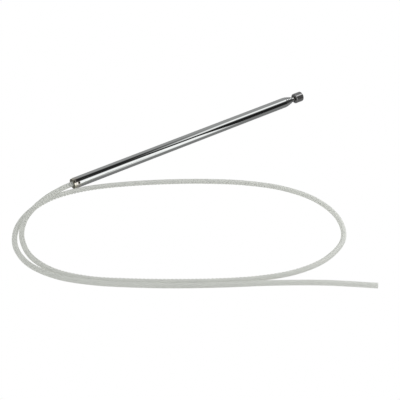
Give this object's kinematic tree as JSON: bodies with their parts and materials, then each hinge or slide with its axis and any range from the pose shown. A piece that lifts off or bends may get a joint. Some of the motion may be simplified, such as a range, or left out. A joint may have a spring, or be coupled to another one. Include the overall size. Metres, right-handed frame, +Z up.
{
  "type": "telescopic power-antenna mast with driving cord",
  "caption": "Collapsed telescopic antenna mast of nested chromed tubes with a tip knob and a long toothed nylon driving cord.",
  "frame": {"origin": "centre of the collapsed mast's bounding box, on the plane it lies on; the free cord is not counted", "axes": "+X along the mast from the bush to the knob, +Z up from the plane the mast and the cord lie on"},
  "size_m": [0.2788, 0.2081, 0.008],
  "materials": {
    "chrome": "polished chrome plate on brass tube",
    "inner_chrome": "polished plate with fine lengthwise rub marks",
    "rod_steel": "drawn stainless rod, polished",
    "knob_chrome": "turned knob, dark chrome plate",
    "brass": "turned brass, dulled",
    "bronze": "pressed spring-bronze sheet",
    "nylon": "milky translucent moulded nylon"
  },
  "bodies": {
    "outer": {"outer_tube": "chrome", "base_bush": "brass", "cord": "nylon"},
    "second": {"second_tube": "inner_chrome", "second_upper_shell": "bronze", "second_lower_shell": "bronze"},
    "third": {"third_tube": "inner_chrome", "third_upper_shell": "bronze", "third_lower_shell": "bronze"},
    "fourth": {"fourth_tube": "inner_chrome", "fourth_upper_shell": "bronze", "fourth_lower_shell": "bronze"},
    "top": {"top_rod": "rod_steel", "top_upper_shell": "bronze", "top_lower_shell": "bronze", "cord_ferrule": "brass", "tip_knob": "knob_chrome"}
  },
  "joints": [
    {"name": "second_slide", "type": "slide", "parent": "outer", "child": "second", "axis": [1, 0, 0], "range_m": [0, 0.1747]},
    {"name": "third_slide", "type": "slide", "parent": "second", "child": "third", "axis": [1, 0, 0], "range_m": [0, 0.1767]},
    {"name": "fourth_slide", "type": "slide", "parent": "third", "child": "fourth", "axis": [1, 0, 0], "range_m": [0, 0.1787]},
    {"name": "top_slide", "type": "slide", "parent": "fourth", "child": "top", "axis": [1, 0, 0], "range_m": [0, 0.1687]}
  ]
}
